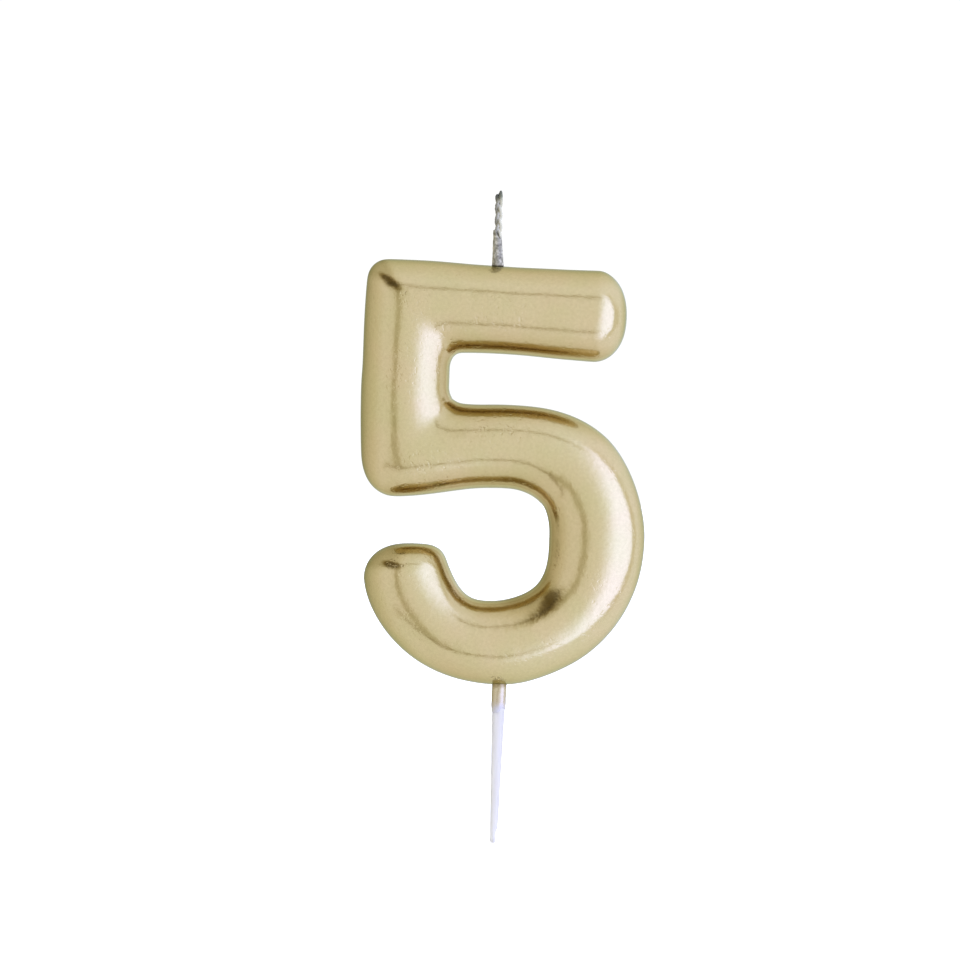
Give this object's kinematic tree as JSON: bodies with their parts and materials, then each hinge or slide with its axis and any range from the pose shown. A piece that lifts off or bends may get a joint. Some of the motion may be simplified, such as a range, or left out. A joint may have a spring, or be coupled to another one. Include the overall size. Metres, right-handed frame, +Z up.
{
  "type": "number birthday candle",
  "caption": "Moulded wax candle in the shape of a figure, under a metallic gold lacquer, with a plaited cotton wick and a clear pick that pushes into a cake.",
  "frame": {"origin": "on the pick's axis, level with the lowest point of the wax figure, where the icing comes to", "axes": "+Z up along the pick and the wick, +X to the reader's right, -Y towards the reader"},
  "size_m": [0.048, 0.013, 0.1081],
  "materials": {
    "paraffin_wax": "cast paraffin wax, waxy and slightly translucent",
    "metallic_lacquer": "champagne gold metallic lacquer, glossy with a fine grain",
    "clear_plastic": "clear moulded polystyrene with a faint lilac tint",
    "priming_wax": "thin greyish wax with overspray of the lacquer",
    "cotton": "undyed cotton yarn, lightly waxed"
  },
  "bodies": {
    "root": {"wax_body": "paraffin_wax", "gold_lacquer": "metallic_lacquer", "neck_collar": "metallic_lacquer", "cake_pick": "clear_plastic", "wick_wax_coat": "priming_wax", "wick_yarn_1": "cotton", "wick_yarn_2": "cotton", "wick_yarn_3": "cotton"}
  },
  "joints": []
}
